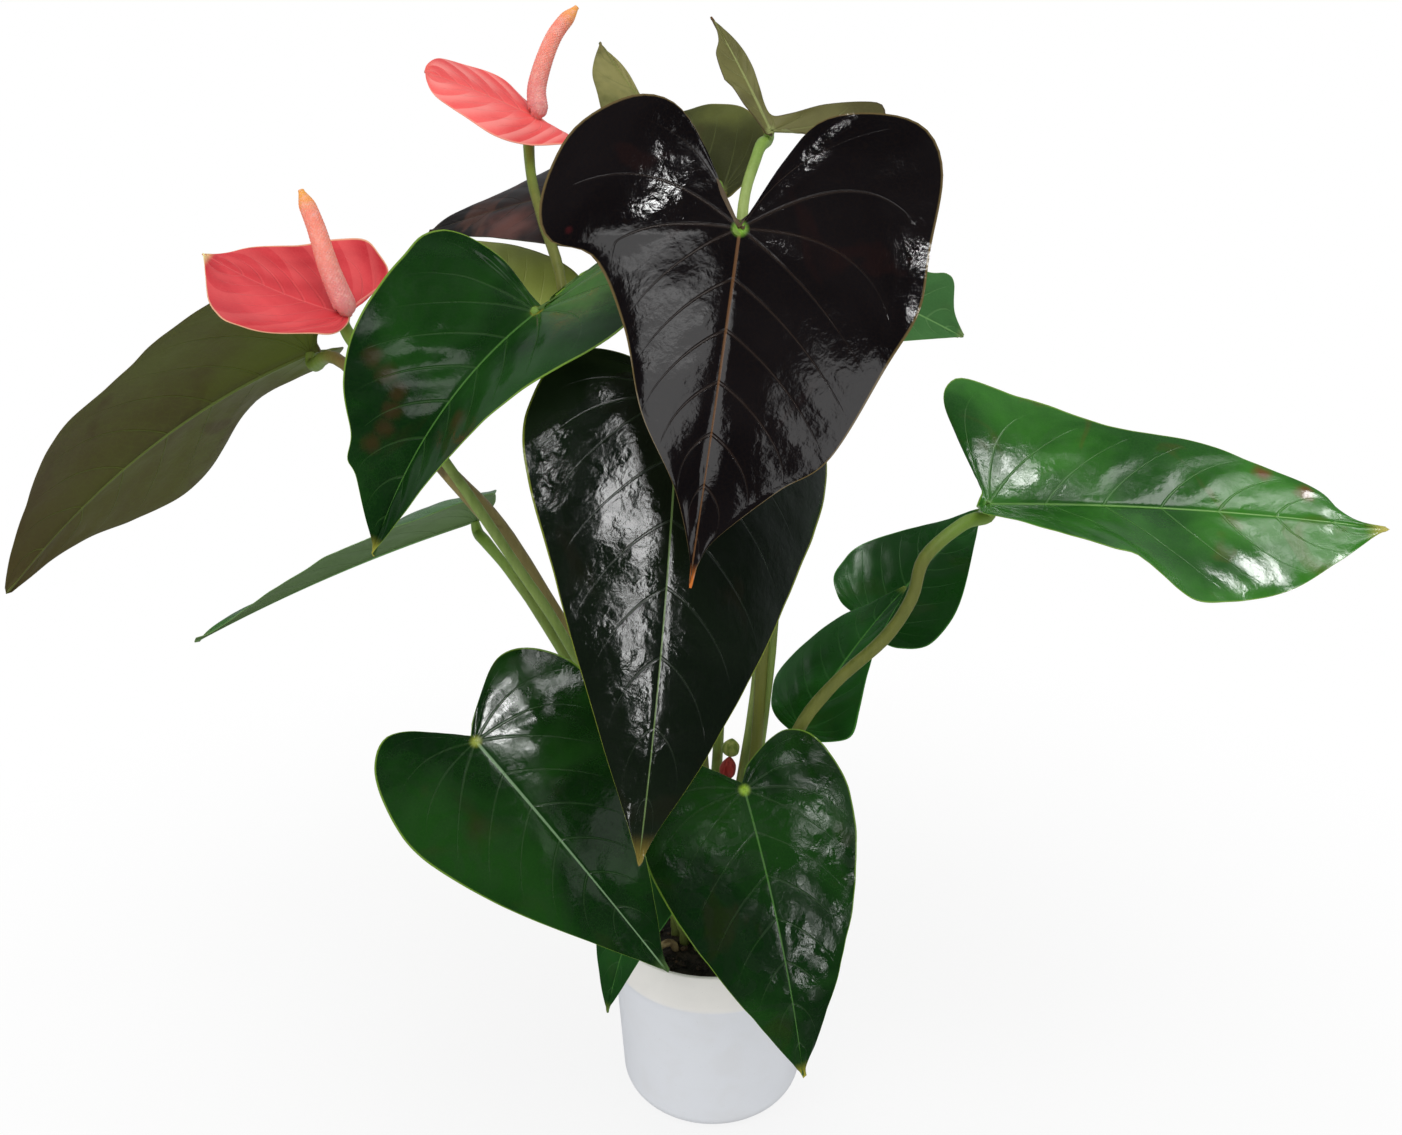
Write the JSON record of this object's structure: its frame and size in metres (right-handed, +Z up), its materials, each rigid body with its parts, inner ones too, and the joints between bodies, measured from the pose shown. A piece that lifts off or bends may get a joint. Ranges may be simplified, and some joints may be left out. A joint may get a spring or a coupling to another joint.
{
  "type": "potted anthurium",
  "caption": "Potted anthurium: glossy heart-shaped leaves on long stalks, open red-pink flowers with upright spadices, a bud, soil and a plain white pot.",
  "frame": {"origin": "centre of the pot's underside, on the surface it stands on", "axes": "+Z up along the pot's axis; -Y is the front, where the large dark leaves face; +X is the viewer's right"},
  "size_m": [0.7013, 0.3417, 0.6046],
  "materials": {
    "pot_white": "satin white",
    "soil_brown": "moist dark potting soil",
    "stem_brown": "dull brown skin",
    "black": "glossy, near black",
    "green": "glossy dark green",
    "light": "satin light green",
    "olive": "satin olive",
    "young": "satin red-brown",
    "stalk_olive": "satin olive",
    "stalk_green": "satin green",
    "stalk_bright": "satin bright green",
    "stalk_brown": "dull brown-green",
    "salmon": "waxy salmon pink",
    "coral": "waxy coral red",
    "spadix_pink": "fine knobbly pink",
    "bud_red": "waxy red",
    "bud_green": "waxy yellow-green",
    "root_tan": "dull tan skin"
  },
  "bodies": {
    "root": {"pot": "pot_white", "soil": "soil_brown", "stem": "stem_brown", "leaf_black_top_blade": "black", "leaf_black_top_stalk": "stalk_olive", "leaf_black_front_blade": "black", "leaf_black_front_stalk": "stalk_olive", "leaf_left_blade": "green", "leaf_left_stalk": "stalk_green", "leaf_right_long_blade": "green", "leaf_right_long_stalk": "stalk_olive", "leaf_right_back_blade": "green", "leaf_right_back_stalk": "stalk_green", "leaf_right_small_blade": "green", "leaf_right_small_stalk": "stalk_green", "leaf_low_right_blade": "green", "leaf_low_right_stalk": "stalk_green", "leaf_low_left_blade": "green", "leaf_low_left_stalk": "stalk_green", "leaf_low_small_blade": "light", "leaf_low_small_stalk": "stalk_green", "leaf_far_left_blade": "olive", "leaf_far_left_stalk": "stalk_brown", "leaf_edge_left_blade": "green", "leaf_edge_left_stalk": "stalk_green", "leaf_back_tall_blade": "olive", "leaf_back_tall_stalk": "stalk_green", "leaf_young_blade": "young", "leaf_young_stalk": "stalk_bright", "leaf_back_left_blade": "black", "leaf_back_left_stalk": "stalk_green", "leaf_olive_left_blade": "olive", "leaf_olive_left_stalk": "stalk_green", "leaf_back_right_blade": "green", "leaf_back_right_stalk": "stalk_green", "flower_top_spathe": "salmon", "flower_top_stalk": "stalk_olive", "flower_top_spadix": "spadix_pink", "flower_left_spathe": "coral", "flower_left_stalk": "stalk_green", "flower_left_spadix": "spadix_pink", "flower_bud_stalk": "stalk_green", "flower_bud_red": "bud_red", "flower_bud_green": "bud_green", "aerial_root": "root_tan"}
  },
  "joints": []
}
